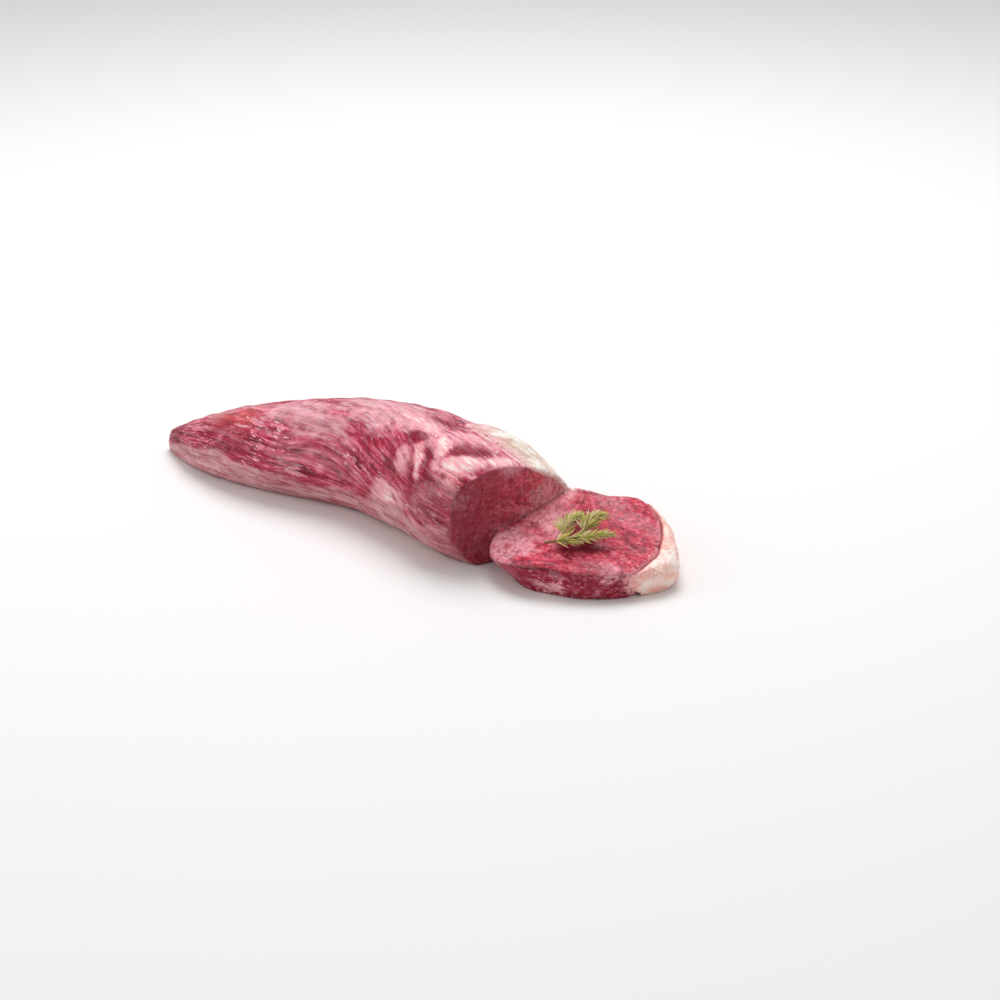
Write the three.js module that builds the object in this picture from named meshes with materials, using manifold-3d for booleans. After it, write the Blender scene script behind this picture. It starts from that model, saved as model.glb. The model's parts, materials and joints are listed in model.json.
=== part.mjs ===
// A raw filet mignon, lying on its flat underside: a long tapering fillet whose thick end has been cut, with
// the end slice folded down in front of the cut face and still joined to it at the foot. A layer of fat shows
// on the far flank and round the outer edge of the slice, and a herb sprig lies on the slice.
// Millimetres, +Z up. X runs along the fillet from its thin tail to the slice, and -Y is the near flank. While
// the pieces are made, the origin is near the foot of the cut; the group then moves it to the bottom centre.
import * as THREE from 'three';
import { mergeVertices } from 'three/addons/utils/BufferGeometryUtils.js';
import Module from 'manifold-3d';

const wasm = await Module();
wasm.setup();

const { sin, cos, abs, sign, PI, exp, hypot, max } = Math;
const { lerp, clamp, euclideanModulo } = THREE.MathUtils;
const degrees = PI / 180;

// ---------------------------------------------------------------- sizes

const TAIL = 267;               // from the tip of the tail to the foot of the cut
const THICK = 67;               // greatest height of the fillet
const OVERRUN = 60;             // how far the uncut shape is made past the cut, for the knife to remove
const SINK = 7;                 // how much of the soft underside is pressed flat
const WIDEST = 0.4;             // height of the widest part of a section, as a share of its height
const GAP = 0.3;                // clearance between pieces that touch

// Sections of the fillet from the tail on: place along X, near and far flank, height, and how far the crest
// leans towards the near flank.
const SECTIONS = [
  { x: -TAIL, near: -35, far: -26, height: 13, lean: 0 },
  { x: -247, near: -44, far: -12, height: 24, lean: 0 },
  { x: -210, near: -53, far: 11, height: 41, lean: 2 },
  { x: -165, near: -51, far: 31, height: 54, lean: 4 },
  { x: -110, near: -38, far: 45, height: 64, lean: 6 },
  { x: -60, near: -43, far: 48, height: THICK, lean: 7 },
  { x: -20, near: -52, far: 43, height: 65, lean: 8 },
  { x: 20, near: -40, far: 25, height: 56, lean: 7 },
  { x: OVERRUN, near: -30, far: 12, height: 40, lean: 6 },
];
const CUT = { turn: 25 * degrees, foot: [0, -33] };   // the cut face's turn towards -Y, and a point at its foot

// The slice's outline seen from above, meat and fat together, anticlockwise from its near outer corner.
const SLICE_OUTLINE = [
  [106, 17], [97, 32], [81, 48], [65, 58], [50, 61], [38, 52], [26, 37], [14, 17], [6, -4],
  [4, -21], [9, -35], [22, -44], [40, -45], [56, -38], [71, -31], [86, -19], [98, -3],
];
const SLICE_CENTRE = [56, 5];
const SLICE_TOP = { height: 23, alongX: -0.14, alongY: 0.06 };   // height at the centre, and slopes
const HINGE = { centre: [27, 20], reach: 17, rise: 9 };          // where the slice hangs on the cut face
// The side muscle at the near corner droops, and its rim overhangs its foot up to a share of its height.
const LOBE = { centre: [12, -40], reach: 26, sag: 10, tuck: 0.26, overhang: 0.75, tuckReach: 40 };
const SEAM = { from: [12, -12], to: [62, -27], width: 5, depth: 2.4 };   // between it and the main muscle

// The fat round the slice: its depth at the outer corner, how far it reaches each way from there as a share of
// the outline, and the thin rim that it leaves on the far side.
const SLICE_FAT = { corner: 10, farReach: 0.12, nearReach: 0.055, rim: 3.4, rimEnd: 0.27, bare: 1 };
// The fat on the far flank: its depth, from where to where along X it thickens, and over which angles round the
// section, in degrees, it lies before it fades out.
const FAT_CAP = { depth: 4.8, bare: 1.6, from: -70, to: -15, lowest: 15, highest: 60, fade: 24 };

// ---------------------------------------------------------------- helpers

/** A smooth bump of height 1 at zero that fades out over about the given width. */
const bump = (distance, width) => exp(-((distance / width) ** 2));

/** A smooth rise from 0 to 1 between two values. */
const rise = (value, from, to) => THREE.MathUtils.smoothstep(value, from, to);

/** The distance of the point (x, y) from the straight line between two points. */
function distanceToLine(x, y, [fromX, fromY], [toX, toY]) {
  const length = hypot(toX - fromX, toY - fromY);
  const share = clamp(((x - fromX) * (toX - fromX) + (y - fromY) * (toY - fromY)) / length ** 2, 0, 1);
  return hypot(x - lerp(fromX, toX, share), y - lerp(fromY, toY, share));
}

/** A lathe of (radius, level) points whose vertices are then moved by place(radius, level, turn). */
function shaped(profile, around, place) {
  const points = profile.map(([radius, level]) => new THREE.Vector2(radius, level));
  const geometry = new THREE.LatheGeometry(points, around);
  const position = geometry.getAttribute('position');
  const spot = new THREE.Vector3();
  for (let i = 0; i < position.count; i++) {
    spot.fromBufferAttribute(position, i);
    const radius = hypot(spot.x, spot.z);
    spot.copy(place(radius, spot.y, Math.atan2(spot.x, spot.z)));
    position.setXYZ(i, spot.x, spot.y, spot.z);
  }
  return geometry;
}

/** The closed solid of a geometry, for joining and cutting. */
function solidOf(geometry) {
  const bare = geometry.clone();
  bare.deleteAttribute('normal');
  bare.deleteAttribute('uv');
  const merged = mergeVertices(bare, 1e-3);
  return new wasm.Manifold(new wasm.Mesh({
    numProp: 3,
    vertProperties: merged.getAttribute('position').array,
    triVerts: new Uint32Array(merged.index.array),
  }));
}

/** The geometry of a solid, with flat facets. */
function geometryOf(solid) {
  const mesh = solid.getMesh();
  const geometry = new THREE.BufferGeometry();
  geometry.setAttribute('position', new THREE.BufferAttribute(mesh.vertProperties, mesh.numProp));
  geometry.setIndex(new THREE.BufferAttribute(mesh.triVerts, 1));
  const faceted = geometry.toNonIndexed();
  faceted.computeVertexNormals();
  return faceted;
}

/** A named piece of the fillet. */
function piece(name, solid, color, roughness) {
  const material = new THREE.MeshStandardMaterial({ color, roughness, metalness: 0 });
  const mesh = new THREE.Mesh(geometryOf(solid), material);
  mesh.name = name;
  return mesh;
}

// ---------------------------------------------------------------- fillet

const SECTION_POINTS = 48;
const SECTION_STEPS = 52;
const SQUARENESS = 0.92;        // below 1, a section's flanks are fuller than an ellipse's
const flanks = new THREE.CatmullRomCurve3(
  SECTIONS.map(({ x, near, far }) => new THREE.Vector3(x, near, far)));
const crests = new THREE.CatmullRomCurve3(
  SECTIONS.map(({ x, height, lean }) => new THREE.Vector3(x, height, lean)));

// The furrow that a tight band of membrane leaves round the waist. It crosses the crest at a place along X and
// slants down the near flank by millimetres for each radian round the section, deepest at the middle angle.
const WAIST = { crest: -46, slant: 24, width: 10, depth: 3.6, middle: 2.4, reach: 1.1 };
// Long seams between the muscles: the angle round the section at the cut and at the tail, width and depth. They
// run out before the tip of the tail.
const SEAM_RUNOUT = 60;
const MUSCLE_SEAMS = [
  { atCut: 205 * degrees, atTail: 185 * degrees, width: 0.2, depth: 1.8 },
  { atCut: 118 * degrees, atTail: 150 * degrees, width: 0.16, depth: 1.5 },
  { atCut: 62 * degrees, atTail: 80 * degrees, width: 0.18, depth: 1.6 },
];

/** The turn round a section, from -90 degrees at the underside past 0 at the far flank to 270. */
const roundFrom = (turn) => (turn < -PI / 2 ? turn + 2 * PI : turn);

/** How deep the furrows are at a place on the fillet's skin. */
function furrows(x, turn) {
  const round = roundFrom(turn);
  let depth = 0;
  for (const seam of MUSCLE_SEAMS) {
    const middle = lerp(seam.atCut, seam.atTail, -x / TAIL);
    depth += seam.depth * bump(round - middle, seam.width) * rise(x, -TAIL, SEAM_RUNOUT - TAIL);
  }
  const waist = WAIST.crest + WAIST.slant * max(0, round - PI / 2);
  return depth + WAIST.depth * bump(x - waist, WAIST.width) * bump(round - WAIST.middle, WAIST.reach);
}

/** The fillet before it is cut, with its skin moved out by grow(x, turn). */
function fillet(grow) {
  const tip = 0.012;
  const profile = [[0, 0], [0.5, 0], [0.82, 0.3 * tip], [0.97, tip]];
  for (let i = 1; i <= SECTION_STEPS; i++) {
    profile.push([1, lerp(tip, 1, i / SECTION_STEPS)]);
  }
  profile.push([0, 1]);
  return shaped(profile, SECTION_POINTS, (radius, along, turn) => {
    const { x, y: near, z: far } = flanks.getPoint(along);
    const { y: height, z: lean } = crests.getPoint(along);
    const half = (far - near) / 2;
    const belt = WIDEST * height;
    const across = half * sign(cos(turn)) * abs(cos(turn)) ** SQUARENESS;
    const up = (sin(turn) > 0 ? height - belt : belt + SINK) * sin(turn);
    const stretch = radius * (1 + (grow(x, turn) - furrows(x, turn)) / hypot(across, up));
    const leaning = lean * max(0, sin(turn)) ** 2 * radius;
    return new THREE.Vector3(x, (near + far) / 2 + across * stretch - leaning, belt + up * stretch);
  });
}

/** All that lies past the cut. */
function pastCut() {
  const size = 200;
  const block = new THREE.BoxGeometry(size, size, size);
  block.translate(size / 2, 0, 0);
  block.rotateZ(-CUT.turn);
  block.translate(...CUT.foot, 0);
  return solidOf(block);
}

/** All that lies below the flat underside. */
function underneath() {
  const depth = 40;
  const block = new THREE.BoxGeometry(3 * TAIL, TAIL, depth);
  block.translate(0, 0, -depth / 2);
  return solidOf(block);
}

// ---------------------------------------------------------------- slice

const SLICE_POINTS = 60;
// The slice's edge from its underside up and in to the middle of its top: share of the outline, share of height.
const SLICE_RIM = [
  [0, -0.1], [0.9, -0.1], [0.955, 0.06], [0.985, 0.28], [1, 0.52], [1, 0.72], [0.98, 0.88], [0.94, 0.97],
  [0.87, 1], [0.7, 1], [0.5, 1], [0.25, 1], [0, 1],
];
const outline = new THREE.CatmullRomCurve3(
  SLICE_OUTLINE.map(([x, y]) => new THREE.Vector3(x, y, 0)), true, 'centripetal');

/** The height of the slice's top face. */
function sliceTop(x, y) {
  const slope = SLICE_TOP.alongX * (x - SLICE_CENTRE[0]) + SLICE_TOP.alongY * (y - SLICE_CENTRE[1]);
  const hinge = HINGE.rise * bump(hypot(x - HINGE.centre[0], y - HINGE.centre[1]), HINGE.reach);
  const sag = LOBE.sag * bump(hypot(x - LOBE.centre[0], y - LOBE.centre[1]), LOBE.reach);
  const seam = SEAM.depth * bump(distanceToLine(x, y, SEAM.from, SEAM.to), SEAM.width);
  return SLICE_TOP.height + slope + hinge - sag - seam;
}

/** How deep the fat is at a share of the way round the slice; negative where there is none. */
function sliceFatDepth(share) {
  const { corner, farReach, nearReach, rim, rimEnd, bare } = SLICE_FAT;
  const away = share > 0.5 ? share - 1 : share;
  if (away < 0) return (corner + rim) * bump(away, nearReach) - bare;
  return corner * bump(away, farReach) + rim * (1 - rise(away, 0.7 * rimEnd, rimEnd)) - bare;
}

/** A body with the slice's outline moved in by inset(share), the given rim, and its top raised by lift. */
function sliceShape(rim, inset, lift = 0) {
  const [centreX, centreY] = SLICE_CENTRE;
  return shaped(rim, SLICE_POINTS, (radius, level, turn) => {
    const share = euclideanModulo(turn / (2 * PI), 1);
    const edge = outline.getPoint(share);
    const reach = hypot(edge.x - centreX, edge.y - centreY);
    const fromLobe = hypot(edge.x - LOBE.centre[0], edge.y - LOBE.centre[1]);
    const tuck = LOBE.tuck * clamp(LOBE.overhang - level, 0, LOBE.overhang) * bump(fromLobe, LOBE.tuckReach);
    const scale = radius * (1 - inset(share) / reach - tuck);
    const x = centreX + (edge.x - centreX) * scale;
    const y = centreY + (edge.y - centreY) * scale;
    return new THREE.Vector3(x, y, level * (sliceTop(x, y) + lift));
  });
}

// ---------------------------------------------------------------- fat

/** How thick the fat on the far flank is; negative where there is none. */
function fatCapDepth(x, turn) {
  const { depth, bare, from, to, lowest, highest, fade } = FAT_CAP;
  const round = roundFrom(turn) / degrees;
  const along = rise(x, from, to);
  const over = rise(round, lowest - fade, lowest) * (1 - rise(round, highest, highest + fade));
  return depth * along * over - bare;
}

// ---------------------------------------------------------------- sprig

// The stem: its ends seen from above, how far it bows aside, how high its tip rises, and its pairs of needles.
const STEM = { root: [41, -23], tip: [67, 4], bow: -3, lift: 3, pairs: 8 };
// The side shoots, and where each leaves the stem as a share of its length.
const SHOOTS = [
  { share: 0.35, tip: [43, 4], bow: 2, lift: 5, pairs: 5 },
  { share: 0.62, tip: [56, 11], bow: 2, lift: 5, pairs: 5 },
];
const TWIG = { radius: 0.8, clearance: 1.2, steps: 8 };
const NEEDLE = { length: 10, radius: 1, upward: 0.4 };

/** The middle of a twig over a point of the slice, raised by lift from where it would lie. */
function overSlice([x, y], lift) {
  return new THREE.Vector3(x, y, sliceTop(x, y) + TWIG.clearance + TWIG.radius + lift);
}

/** A pointed leaf of the given length that starts at a point and follows a direction. */
function needle(start, direction, length) {
  const profile = [[0, 0], [1, 0.45], [0, 1]].map(
    ([radius, level]) => new THREE.Vector2(radius * NEEDLE.radius, level * length));
  const leaf = new THREE.LatheGeometry(profile, 4);
  const up = new THREE.Vector3(0, 1, 0);
  leaf.applyQuaternion(new THREE.Quaternion().setFromUnitVectors(up, direction.clone().normalize()));
  leaf.translate(start.x, start.y, start.z);
  return solidOf(leaf);
}

/** The bowed line of a twig from its start to a tip that rises by lift off the slice. */
function twigRoute(start, { tip, bow, lift }) {
  const end = overSlice(tip, lift);
  const aside = new THREE.Vector3(start.y - end.y, end.x - start.x, 0).normalize();
  const spots = [0, 0.35, 0.7, 1].map(
    (share) => start.clone().lerp(end, share).addScaledVector(aside, bow * sin(share * PI)));
  return new THREE.CatmullRomCurve3(spots);
}

/** A twig along a route, with needles in pairs and between them. */
function twig(route, pairs) {
  const section = new THREE.Shape().absarc(0, 0, TWIG.radius, 0, 2 * PI);
  const stem = new THREE.ExtrudeGeometry(section, { steps: TWIG.steps, curveSegments: 3, extrudePath: route });
  let whole = solidOf(stem);
  for (let i = 0; i < pairs; i++) {
    const share = lerp(0.25, 0.98, i / (pairs - 1));
    const along = route.getTangent(share);
    const aside = new THREE.Vector3(-along.y, along.x, 0).normalize();
    for (const side of [-1, 0, 1]) {
      const spread = side * (1.1 - 0.5 * share + 0.15 * sin(7 * i));
      const direction = along.clone().addScaledVector(aside, spread);
      direction.z += NEEDLE.upward * (side === 0 ? 2 : 0.5 + 0.4 * sin(5 * i + side));
      const length = NEEDLE.length * (1 - 0.25 * share + 0.12 * sin(3 * i + 2 * side));
      whole = whole.add(needle(route.getPoint(share), direction, length));
    }
  }
  return whole;
}

/** The sprig: a stem with two side shoots. */
function sprigSolid() {
  const stem = twigRoute(overSlice(STEM.root, 0), STEM);
  const shoots = SHOOTS.map((shoot) => twig(twigRoute(stem.getPoint(shoot.share), shoot), shoot.pairs));
  return shoots.reduce((whole, shoot) => whole.add(shoot), twig(stem, STEM.pairs));
}

// ---------------------------------------------------------------- whole

const cut = pastCut();
const floor = underneath();
const grown = (extra) => solidOf(fillet(() => extra));
const sliceWall = [[0, -0.3], [1, -0.3], [1, 0], [1, LOBE.overhang], [1, 2], [0, 2]];

const sliceMeat = solidOf(sliceShape(SLICE_RIM, (share) => max(0, sliceFatDepth(share))));
const meat = grown(0).subtract(cut).add(sliceMeat).subtract(floor);
const sliceFat = solidOf(sliceShape(SLICE_RIM, () => 0))
  .subtract(solidOf(sliceShape(sliceWall, (share) => sliceFatDepth(share) - GAP)))
  .subtract(floor);
const fatCap = solidOf(fillet(fatCapDepth)).subtract(grown(GAP)).subtract(cut)
  .subtract(solidOf(sliceShape(SLICE_RIM, () => -GAP, GAP)));

const filetMignon = new THREE.Group();
filetMignon.add(
  piece('meat', meat, '#b5636f', 0.4),
  piece('fat_cap', fatCap, '#f3cfc0', 0.5),
  piece('slice_fat', sliceFat, '#f1c8b8', 0.5),
  piece('sprig', sprigSolid(), '#8f8a48', 0.7),
);

const box = new THREE.Box3().setFromObject(filetMignon);
const centre = box.getCenter(new THREE.Vector3());
filetMignon.position.set(-centre.x, -centre.y, -box.min.z);

export default filetMignon;
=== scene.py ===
"""Looks of the raw filet mignon: a beef fillet whose thick end is cut, with the end slice folded forward.

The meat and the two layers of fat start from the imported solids, are meshed finely and get their relief in
code: muscle bundles, creases near the cut, silverskin and fat that stand proud, and the cut faces' grain. The
sprig is made of a stem, two shoots and single needles. Sizes are in millimetres where no comment says metres.
"""

import json
import logging
import math
from dataclasses import dataclass
from enum import Enum

import bpy
import numpy as np
from mathutils import Matrix, Vector
from mathutils.bvhtree import BVHTree

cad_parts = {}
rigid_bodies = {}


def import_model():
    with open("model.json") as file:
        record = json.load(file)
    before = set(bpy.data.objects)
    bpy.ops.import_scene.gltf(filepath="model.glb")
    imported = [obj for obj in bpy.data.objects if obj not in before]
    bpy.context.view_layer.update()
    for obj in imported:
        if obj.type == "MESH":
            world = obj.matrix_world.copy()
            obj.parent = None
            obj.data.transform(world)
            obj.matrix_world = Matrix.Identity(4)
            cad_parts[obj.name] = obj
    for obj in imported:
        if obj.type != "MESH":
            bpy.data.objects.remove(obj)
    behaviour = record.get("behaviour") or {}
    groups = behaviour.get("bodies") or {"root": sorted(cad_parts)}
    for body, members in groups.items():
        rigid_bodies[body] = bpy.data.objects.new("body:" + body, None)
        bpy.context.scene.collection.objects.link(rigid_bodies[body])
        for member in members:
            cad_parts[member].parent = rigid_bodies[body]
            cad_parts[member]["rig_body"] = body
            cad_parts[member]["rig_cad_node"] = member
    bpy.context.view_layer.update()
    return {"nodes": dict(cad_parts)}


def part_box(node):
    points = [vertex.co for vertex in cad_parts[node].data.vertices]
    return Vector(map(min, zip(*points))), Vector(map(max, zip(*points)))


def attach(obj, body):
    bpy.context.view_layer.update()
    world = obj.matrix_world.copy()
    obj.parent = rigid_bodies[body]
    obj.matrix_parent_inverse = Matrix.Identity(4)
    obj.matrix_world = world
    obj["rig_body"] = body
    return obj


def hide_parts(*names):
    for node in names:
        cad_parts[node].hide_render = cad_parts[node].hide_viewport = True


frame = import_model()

log = logging.getLogger("filet_mignon")

MM = 0.001

# The plane of the cut, by a point of its foot and by the way that it faces, seen from above.
CUT_FOOT = (80.5, -37.0)
CUT_TURN = math.radians(25)
CUT_FACING = np.array([math.cos(CUT_TURN), -math.sin(CUT_TURN), 0.0])
CUT_ACROSS = np.array([math.sin(CUT_TURN), math.cos(CUT_TURN), 0.0])
# The middle of the folded slice, seen from above.
SLICE_MIDDLE = (136.5, 1.0)
# Numbers that stir the noise, and the largest number that it is kept within.
PRIMES = (374761393, 668265263, 974634777, 1274126177)
WORD = 0xFFFFFFFF
MERGE = 0.01  # points of a copied CAD node that are closer than this are one

# Three numbers: a place, a size each way, or the red, green and blue of a light.
Triple = tuple[float, float, float]
# Where something starts and where it is whole.
Span = tuple[float, float]
Array = np.ndarray
Piece = bpy.types.Object
Socket = bpy.types.NodeSocket


# ---------------------------------------------------------------- noise and curves


def rise(value: Array, low: float, high: float) -> Array:
    """A smooth rise from 0 at low to 1 at high."""
    share = np.clip((value - low) / (high - low), 0.0, 1.0)
    return share * share * (3 - 2 * share)


def bump(distance: Array, width: float) -> Array:
    """A smooth bump of height 1 at zero that fades out over about the given width."""
    return np.exp(-((distance / width) ** 2))


def lattice(cell: Array, seed: int) -> Array:
    """One fixed number from -1 to 1 for each whole-numbered cell.

    Args:
        cell: The cells, as rows of three whole numbers.
        seed: Which of many such fields is wanted.

    Returns:
        One number for each row.
    """
    mixed = (cell @ np.array(PRIMES[:3]) + seed * PRIMES[3]) & WORD
    mixed = ((mixed ^ (mixed >> 13)) * PRIMES[3]) & WORD
    return (mixed ^ (mixed >> 16)) / (WORD >> 1) - 1.0


def wander(spots: Array, size: float | Triple | Array, seed: int) -> Array:
    """Smooth noise from -1 to 1.

    Args:
        spots: Rows of three coordinates.
        size: The size of a lump, the same all round or one size for each coordinate.
        seed: Which of many such fields is wanted.

    Returns:
        One number for each row.
    """
    scaled = spots / np.asarray(size, float)
    cell = np.floor(scaled).astype(np.int64)
    part = scaled - cell
    part = part**3 * (part * (part * 6 - 15) + 10)
    total = np.zeros(len(spots))
    for corner in np.ndindex(2, 2, 2):
        weight = np.where(np.array(corner, bool), part, 1 - part).prod(axis=1)
        total += weight * lattice(cell + np.array(corner), seed)
    return total


def layered(spots: Array, size: Triple, seed: int) -> Array:
    """Noise in three layers, each half as large and half as strong as the one before."""
    return sum(wander(spots, np.array(size) / 2**i, seed + i) / 2**i for i in range(3))


def furrows(spots: Array, size: float | Triple, seed: int, width: float) -> Array:
    """Meandering furrows between lumps of the given size: 1 in a furrow and 0 on a lump."""
    return bump(wander(spots, size, seed), width)


def past_cut(spots: Array) -> Array:
    """How far each spot is past the plane of the cut, on the side of the slice."""
    return (spots[:, :2] - CUT_FOOT) @ CUT_FACING[:2]


def near_line(spots: Array, line: tuple[Triple, ...], width: float) -> Array:
    """How much each spot is on a line through several points, which is narrower and fainter at its ends.

    Args:
        spots: Rows of three coordinates.
        line: The points of the line.
        width: How far from the line its influence fades out.

    Returns:
        A number from 0 to 1 for each row.
    """
    best = np.full(len(spots), np.inf)
    share = np.zeros(len(spots))
    for number, (start, end) in enumerate(zip(line, line[1:])):
        start, way = np.array(start), np.subtract(end, start)
        part = np.clip((spots - start) @ way / (way @ way), 0, 1)
        away = np.linalg.norm(spots - start - part[:, None] * way, axis=1)
        share = np.where(away < best, (number + part) / (len(line) - 1), share)
        best = np.minimum(best, away)
    full = 1 - np.abs(2 * share - 1) ** 3
    return bump(best, width * (0.45 + 0.55 * full)) * full


# ---------------------------------------------------------------- working on meshes


def select_only(piece: Piece) -> None:
    """Selects one object and makes it the active one.

    Args:
        piece: The object.
    """
    bpy.ops.object.select_all(action="DESELECT")
    piece.select_set(True)
    bpy.context.view_layer.objects.active = piece


def newest() -> Piece:
    """The active object, which is the one that the last tool made."""
    return bpy.context.view_layer.objects.active


def copy_of(node: str, name: str) -> Piece:
    """A merged copy of a CAD node as a new piece.

    Args:
        node: The name of the CAD node.
        name: The name of the new piece.

    Returns:
        The new piece, at the origin and without a parent.
    """
    select_only(frame["nodes"][node])
    bpy.ops.object.duplicate()
    piece = newest()
    piece.name = piece.data.name = name
    piece.parent = None
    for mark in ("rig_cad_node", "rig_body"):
        del piece[mark]
    piece.data.materials.clear()
    bpy.ops.object.mode_set(mode="EDIT")
    bpy.ops.mesh.select_all(action="SELECT")
    bpy.ops.mesh.remove_doubles(threshold=MERGE * MM)
    bpy.ops.object.mode_set(mode="OBJECT")
    return piece


class Neighbour:
    """A CAD node that a piece touches, for finding out what lies near it or under it."""

    reach: float = 12.0

    def __init__(self, node: str) -> None:
        """Reads the faces of the node.

        Args:
            node: The name of the CAD node.
        """
        mesh = frame["nodes"][node].data
        places = [vertex.co for vertex in mesh.vertices]
        self.tree = BVHTree.FromPolygons(places, [tuple(face.vertices) for face in mesh.polygons])
        self.low, self.high = (np.array(corner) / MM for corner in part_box(node))

    def close(self, spots: Array) -> Array:
        """Which spots are within reach of the node's box."""
        return np.all((spots > self.low - self.reach) & (spots < self.high + self.reach), axis=1)

    def distance(self, spots: Array) -> Array:
        """How far each spot is from the node's nearest face, or the reach where it is further.

        Args:
            spots: Rows of three coordinates.

        Returns:
            One distance for each row.
        """
        away = np.full(len(spots), self.reach)
        close = self.close(spots)
        away[close] = [self.tree.find_nearest(Vector(spot * MM))[3] / MM for spot in spots[close]]
        return np.minimum(away, self.reach)

    def covers(self, spots: Array, facing: Array) -> Array:
        """Which spots have the node right over them.

        Args:
            spots: Rows of three coordinates.
            facing: The way that the surface faces at each spot.

        Returns:
            True for each covered spot.
        """
        over = np.zeros(len(spots), bool)
        for row in np.flatnonzero(self.close(spots)):
            hit = self.tree.ray_cast(Vector(spots[row] * MM), Vector(facing[row]), self.reach * MM)
            over[row] = hit[0] is not None
        return over


def placed(name: str, data: bpy.types.ID) -> Piece:
    """A new object of the scene with the given data.

    Args:
        name: Its name.
        data: Its mesh, lamp or camera.

    Returns:
        The object.
    """
    made = bpy.data.objects.new(name, data)
    bpy.context.scene.collection.objects.link(made)
    return made


def remesh(piece: Piece, grid: float) -> None:
    """Gives a piece an even mesh of squares of the given size.

    Args:
        piece: The piece.
        grid: The size of a square.
    """
    select_only(piece)
    even = piece.modifiers.new("even", "REMESH")
    even.mode = "VOXEL"
    even.voxel_size = grid * MM
    bpy.ops.object.modifier_apply(modifier=even.name)


def dress(piece: Piece, node: str) -> None:
    """Fastens a finished piece to the frame, in place of its CAD node.

    Args:
        piece: The piece.
        node: The name of the CAD node.
    """
    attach(piece, "root")
    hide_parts(node)
    log.info("%s: %d faces", piece.name, len(piece.data.polygons))


class Skin:
    """The points of a piece's mesh as arrays in millimetres, for relief that follows its surface."""

    def __init__(self, piece: Piece) -> None:
        """Reads the points and edges of a piece.

        Args:
            piece: The piece.
        """
        self.piece = piece
        mesh = piece.data
        flat = np.zeros(len(mesh.vertices) * 3)
        mesh.vertices.foreach_get("co", flat)
        self.spots = flat.reshape(-1, 3) / MM
        ends = np.zeros(len(mesh.edges) * 2, np.int64)
        mesh.edges.foreach_get("vertices", ends)
        self.ends = ends.reshape(-1, 2)
        self.count = np.bincount(ends, minlength=len(self.spots))[:, None]

    def even_out(self, values: Array, rounds: int) -> Array:
        """Averages values with those of neighbouring points, round after round.

        Args:
            values: One number or one row of numbers for each point.
            rounds: How many times.

        Returns:
            The averages, in the shape of the values.
        """
        flat = values.reshape(len(self.spots), -1).copy()
        (first, second), number = self.ends.T, len(flat)
        for _ in range(rounds):
            total = [
                np.bincount(first, column[second], number) + np.bincount(second, column[first], number)
                for column in flat.T
            ]
            flat += 0.5 * (np.stack(total, axis=1) / self.count - flat)
        return flat.reshape(values.shape)

    def relax(self, rounds: int, share: Array, back: float) -> None:
        """Rounds off facets.

        Args:
            rounds: How many times.
            share: How freely each point may move, from 0 to 1.
            back: How much of each move is taken back. Just over 1 keeps the size of small forms.
        """
        for _ in range(rounds):
            for pull in (1.0, -back):
                self.spots += pull * share[:, None] * (self.even_out(self.spots, 1) - self.spots)

    def normals(self) -> Array:
        """The way that the surface faces at each point.

        Returns:
            One direction for each point.
        """
        self.store()
        flat = np.zeros(self.spots.size)
        self.piece.data.vertices.foreach_get("normal", flat)
        return flat.reshape(-1, 3)

    def store(self) -> None:
        """Writes the points back to the mesh."""
        self.piece.data.vertices.foreach_set("co", (self.spots * MM).ravel())
        self.piece.data.update()

    def paint(self, name: str, values: Array) -> None:
        """Keeps one number or one vector for each point, for the material to read.

        Args:
            name: What the material calls it.
            values: One number or one row of three for each point.
        """
        kind, key = ("FLOAT", "value") if values.ndim == 1 else ("FLOAT_VECTOR", "vector")
        layer = self.piece.data.attributes.new(name, kind, "POINT")
        layer.data.foreach_set(key, values.astype(np.float32).ravel())

    def smooth_faces(self) -> None:
        """Shades the whole mesh smoothly."""
        mesh = self.piece.data
        mesh.polygons.foreach_set("use_smooth", np.ones(len(mesh.polygons), bool))
        mesh.update()


# ---------------------------------------------------------------- finishes


def tint(code: str) -> tuple[float, float, float, float]:
    """A colour of the shader from the usual code with two digits each for red, green and blue."""
    parts = (int(code[i : i + 2], 16) / 255 for i in (1, 3, 5))
    return (*(p / 12.92 if p <= 0.04045 else ((p + 0.055) / 1.055) ** 2.4 for p in parts), 1.0)


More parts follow.
